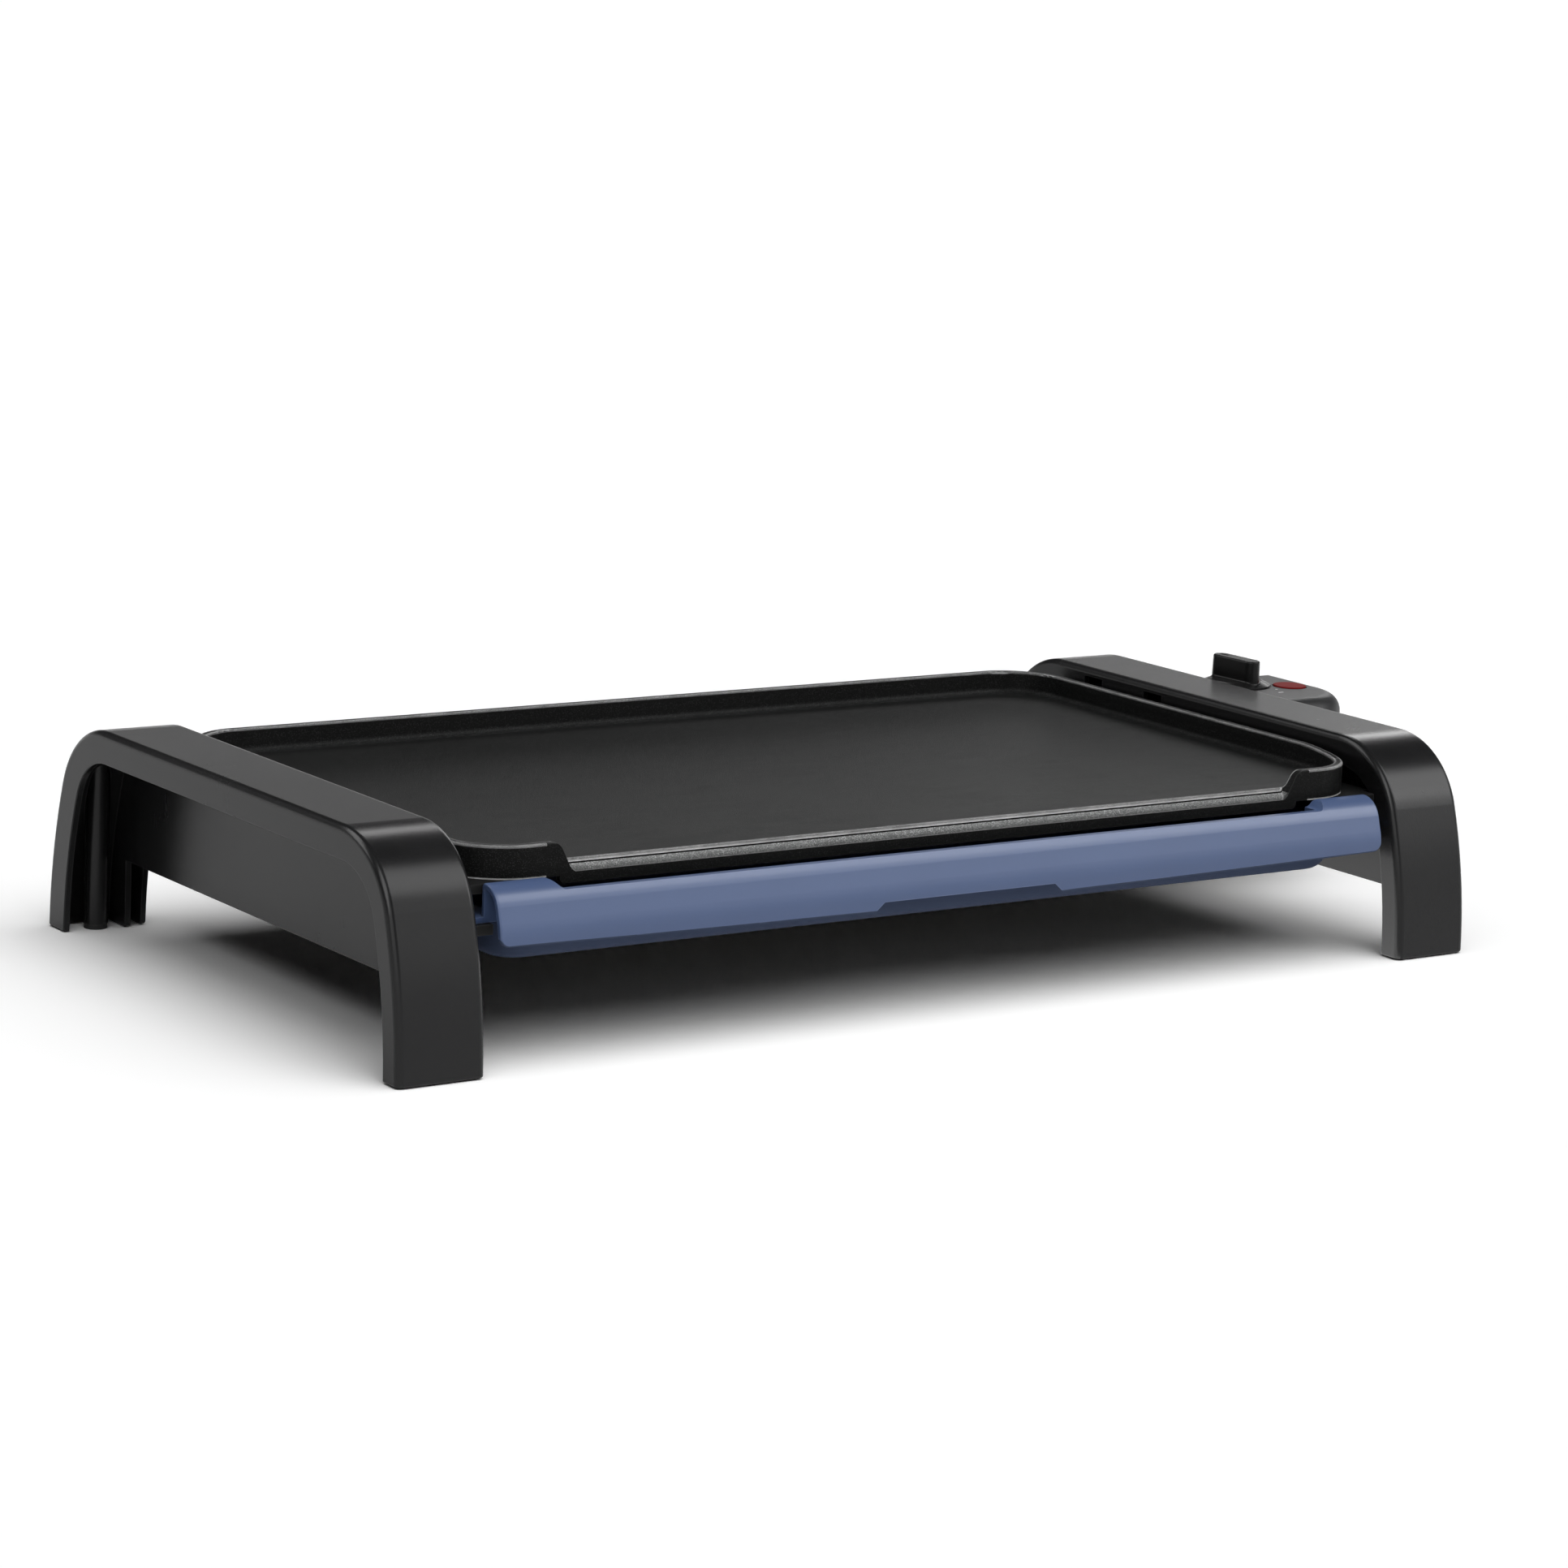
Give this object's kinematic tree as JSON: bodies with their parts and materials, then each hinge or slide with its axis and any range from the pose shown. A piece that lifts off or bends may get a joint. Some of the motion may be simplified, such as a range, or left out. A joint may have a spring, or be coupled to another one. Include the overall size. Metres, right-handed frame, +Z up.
{
  "type": "electric griddle",
  "caption": "Electric griddle: rimmed plate between two moulded arches, with a slide-out drip tray under its open front edge and a plug-in heat control at one end.",
  "frame": {"origin": "centre of the overall box at table height, under the rubber feet", "axes": "+X along the length towards the plug-in control, +Y to the back away from the drip tray's front, +Z up"},
  "size_m": [0.6536, 0.3194, 0.109],
  "materials": {
    "arch_plastic": "fine satin texture",
    "foot_rubber": "matt",
    "bracket_plastic": "matt",
    "screw_steel": "zinc plated",
    "coated_aluminium": "black speckled non-stick coating",
    "element_steel": "drawn tube",
    "insulator": "moulded",
    "pin_metal": "nickel plated",
    "guard_steel": "bare sheet",
    "tray_plastic": "semi-gloss",
    "control_plastic": "fine satin texture",
    "lens_red": "clear gloss",
    "lamp_glass": "clear",
    "gland_rubber": "matt",
    "knob_plastic": "satin"
  },
  "bodies": {
    "base": {"left_arch": "arch_plastic", "right_arch": "arch_plastic", "foot_pads": "foot_rubber", "left_bracket": "bracket_plastic", "right_bracket": "bracket_plastic", "bracket_screws": "screw_steel", "cooking_plate": "coated_aluminium", "plate_bolts": "screw_steel", "heating_element": "element_steel", "terminal_block": "insulator", "terminal_pins": "pin_metal", "terminal_guard": "guard_steel", "guard_screws": "screw_steel"},
    "tray": {"drip_tray": "tray_plastic"},
    "control": {"control_top_shell": "control_plastic", "control_base_shell": "control_plastic", "shell_screws": "screw_steel", "contact_block": "insulator", "contact_sleeves": "pin_metal", "probe_rod": "element_steel", "thermostat": "insulator", "lamp_lens": "lens_red", "neon_lamp": "lamp_glass", "cord_gland": "gland_rubber"},
    "knob": {"control_knob": "knob_plastic", "knob_spindle": "element_steel"}
  },
  "joints": [
    {"name": "tray_slide", "type": "slide", "parent": "base", "child": "tray", "axis": [0, -1, 0], "range_m": [0, 0.1]},
    {"name": "control_unplug", "type": "slide", "parent": "base", "child": "control", "axis": [1, 0, 0], "range_m": [0, 0.135]},
    {"name": "knob_turn", "type": "hinge", "parent": "control", "child": "knob", "pos_m": [0.2795, 0.04, 0.0953], "axis": [0, 0, 1], "range_deg": [-270, 0]}
  ]
}
